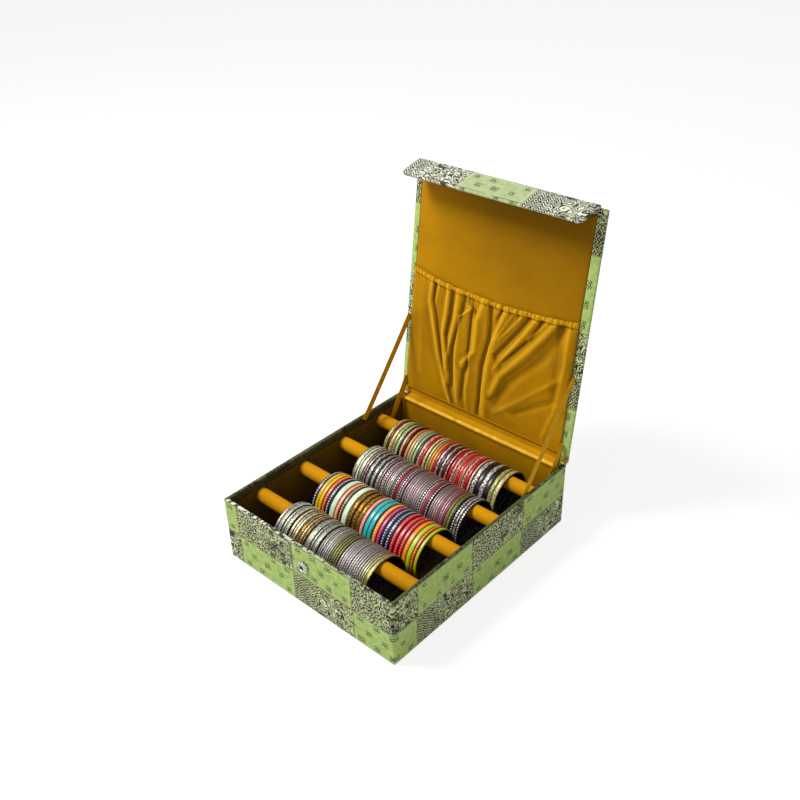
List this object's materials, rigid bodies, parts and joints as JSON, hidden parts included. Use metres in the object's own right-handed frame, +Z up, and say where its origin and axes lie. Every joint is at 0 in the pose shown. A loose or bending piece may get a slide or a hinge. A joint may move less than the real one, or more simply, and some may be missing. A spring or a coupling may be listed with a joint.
{
  "type": "bangle box",
  "caption": "Cloth-covered bangle case with a ribbon-stayed lid, snap flap, gathered lid pocket and lift-out padded rolls carrying ribbed bangle stacks.",
  "frame": {"origin": "centre of the underside, where the box stands on a table", "axes": "+X to the right along the rolls, +Y to the hinge at the rear, +Z up"},
  "size_m": [0.258, 0.348, 0.3878],
  "materials": {
    "brocade": "lime green, grey and cream woven patchwork brocade",
    "board": "grey board",
    "paper": "plain lining paper",
    "velvet": "mustard gold velvet",
    "roll_velvet": "bright mustard velvet",
    "ribbon": "gold satin ribbon",
    "wood": "plain turned wood",
    "nickel": "bright nickel plate",
    "bangle_old_silver": "aged silver with pale stones",
    "bangle_old_gold": "antique gold openwork",
    "bangle_dark_mesh": "dark grey mesh",
    "bangle_black": "black and silver",
    "bangle_yellow": "yellow and orange enamel",
    "bangle_mint": "pale mint and salmon enamel",
    "bangle_turquoise": "turquoise and magenta enamel",
    "bangle_red": "red and orange enamel with gold dots",
    "bangle_mauve": "mauve silver, beaded",
    "bangle_olive": "olive enamel",
    "bangle_pink_gold": "pink and gold enamel"
  },
  "bodies": {
    "base": {"outer_wrap": "brocade", "left_wall_board": "board", "right_wall_board": "board", "front_wall_board": "board", "rear_wall_board": "board", "floor_board": "board", "underside_paper": "paper", "left_side_liner": "velvet", "right_side_liner": "velvet", "front_liner": "velvet", "rear_liner": "velvet", "floor_liner": "velvet", "snap_socket": "nickel", "socket_washer": "nickel", "spine_cloth": "brocade", "inner_hinge_cloth": "velvet", "stay_ribbon_left": "ribbon", "stay_ribbon_right": "ribbon", "corner_tape_left": "ribbon", "corner_tape_right": "ribbon"},
    "lid": {"lid_cover": "brocade", "lid_board": "board", "lid_lining": "velvet", "lid_pocket": "velvet", "pocket_elastic_hem": "velvet"},
    "flap_strip": {"flap_hinge_cloth": "brocade"},
    "flap": {"flap_cover": "brocade", "flap_board": "board", "flap_lining": "velvet", "snap_stud": "nickel", "stud_washer": "nickel"},
    "roll_1": {"roll_1_core": "wood", "roll_1_sleeve": "roll_velvet", "roll_1_bangles_a": "bangle_old_silver", "roll_1_bangles_b": "bangle_old_gold", "roll_1_bangles_c": "bangle_dark_mesh", "roll_1_bangles_d": "bangle_black", "roll_1_bangles_e": "bangle_old_silver"},
    "roll_2": {"roll_2_core": "wood", "roll_2_sleeve": "roll_velvet", "roll_2_bangles_a": "bangle_yellow", "roll_2_bangles_b": "bangle_mint", "roll_2_bangles_c": "bangle_old_gold", "roll_2_bangles_d": "bangle_turquoise", "roll_2_bangles_e": "bangle_red"},
    "roll_3": {"roll_3_core": "wood", "roll_3_sleeve": "roll_velvet", "roll_3_bangles_a": "bangle_old_silver", "roll_3_bangles_b": "bangle_dark_mesh", "roll_3_bangles_c": "bangle_mauve", "roll_3_bangles_d": "bangle_mauve", "roll_3_bangles_e": "bangle_olive"},
    "roll_4": {"roll_4_core": "wood", "roll_4_sleeve": "roll_velvet", "roll_4_bangles_a": "bangle_old_gold", "roll_4_bangles_b": "bangle_pink_gold", "roll_4_bangles_c": "bangle_red", "roll_4_bangles_d": "bangle_red", "roll_4_bangles_e": "bangle_pink_gold"}
  },
  "joints": [
    {"name": "lid_hinge", "type": "hinge", "parent": "base", "child": "lid", "pos_m": [0, 0.1515, 0.0842], "axis": [-1, 0, 0], "range_deg": [-97.5, 0], "deforming": ["stay_ribbon_left", "stay_ribbon_right", "corner_tape_left", "corner_tape_right", "spine_cloth", "inner_hinge_cloth"]},
    {"name": "flap_strip_fold", "type": "hinge", "parent": "lid", "child": "flap_strip", "pos_m": [0, 0.19236, 0.38383], "axis": [-1, 0, 0], "range_deg": [0, 38.15]},
    {"name": "flap_fold", "type": "hinge", "parent": "flap_strip", "child": "flap", "pos_m": [0, 0.1898, 0.38622], "axis": [-1, 0, 0], "range_deg": [-11, 109]},
    {"name": "roll_1_lift", "type": "slide", "parent": "base", "child": "roll_1", "axis": [0, 0, 1], "range_m": [0, 0.0185]},
    {"name": "roll_2_lift", "type": "slide", "parent": "base", "child": "roll_2", "axis": [0, 0, 1], "range_m": [0, 0.0185]},
    {"name": "roll_3_lift", "type": "slide", "parent": "base", "child": "roll_3", "axis": [0, 0, 1], "range_m": [0, 0.0185]},
    {"name": "roll_4_lift", "type": "slide", "parent": "base", "child": "roll_4", "axis": [0, 0, 1], "range_m": [0, 0.0185]}
  ],
  "couplings": [
    {"joint": "flap_strip_fold", "follows": "lid_hinge", "ratio": -0.39128}
  ]
}
